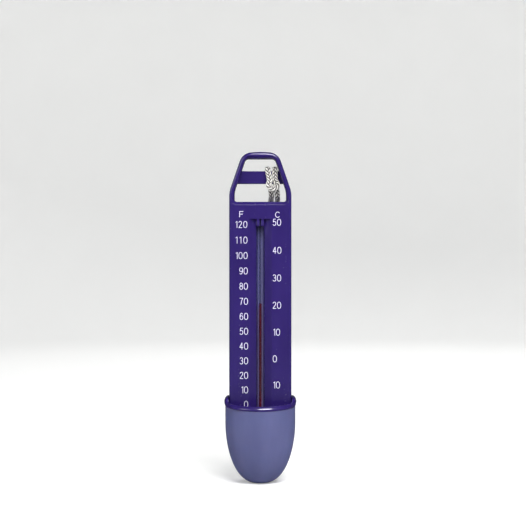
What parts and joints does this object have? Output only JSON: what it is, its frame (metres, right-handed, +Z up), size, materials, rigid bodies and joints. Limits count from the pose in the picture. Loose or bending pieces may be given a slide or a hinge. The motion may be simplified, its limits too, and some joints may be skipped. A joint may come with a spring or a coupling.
{
  "type": "pool thermometer",
  "caption": "Scoop-type floating pool thermometer: hollow moulded body with a hand loop, glass spirit tube, water cup round the bulb, and a cord hitched to the tie bar.",
  "frame": {"origin": "on the flat foot of the cup, in the middle of the width and in the plane of the printed face", "axes": "+Z up along the glass tube towards the hand loop, -Y out of the printed face towards the reader, +X to the reader's right"},
  "size_m": [0.035, 0.0328, 0.1649],
  "materials": {
    "deep_blue_plastic": "glossy moulded, deep blue violet",
    "tinted_cup_plastic": "satin moulded, paler blue violet, slightly translucent",
    "clear_glass": "clear, polished",
    "red_spirit": "dark red dyed spirit",
    "white_cord": "white braided synthetic cord",
    "soft_cushion": "soft translucent grey"
  },
  "bodies": {
    "body": {"front_frame": "deep_blue_plastic", "rear_cover": "deep_blue_plastic", "scoop_cup": "tinted_cup_plastic", "glass_tube": "clear_glass", "bulb_spirit": "red_spirit", "tube_cushion": "soft_cushion", "tube_retainer": "deep_blue_plastic"},
    "spirit": {"spirit_thread": "red_spirit"},
    "hitch": {"cord_hitch": "white_cord"},
    "cord_upper": {"cord_upper_left": "white_cord", "cord_upper_right": "white_cord"},
    "cord_lower": {"cord_lower_left": "white_cord", "cord_lower_right": "white_cord", "cord_end_knot": "white_cord"}
  },
  "joints": [
    {"name": "spirit_rise", "type": "slide", "parent": "body", "child": "spirit", "axis": [0, 0, 1], "range_m": [-0.0503, 0.0395], "deforming": ["spirit_thread"]},
    {"name": "hitch_slide", "type": "slide", "parent": "body", "child": "hitch", "axis": [1, 0, 0], "range_m": [-0.0112, 0]},
    {"name": "cord_swing", "type": "hinge", "parent": "hitch", "child": "cord_upper", "pos_m": [0.0068, 0.0124, 0.1418], "axis": [1, 0, 0], "range_deg": [0, 170]},
    {"name": "cord_bend", "type": "hinge", "parent": "cord_upper", "child": "cord_lower", "pos_m": [0.0068, 0.0124, 0.1], "axis": [1, 0, 0], "range_deg": [0, 90]}
  ]
}
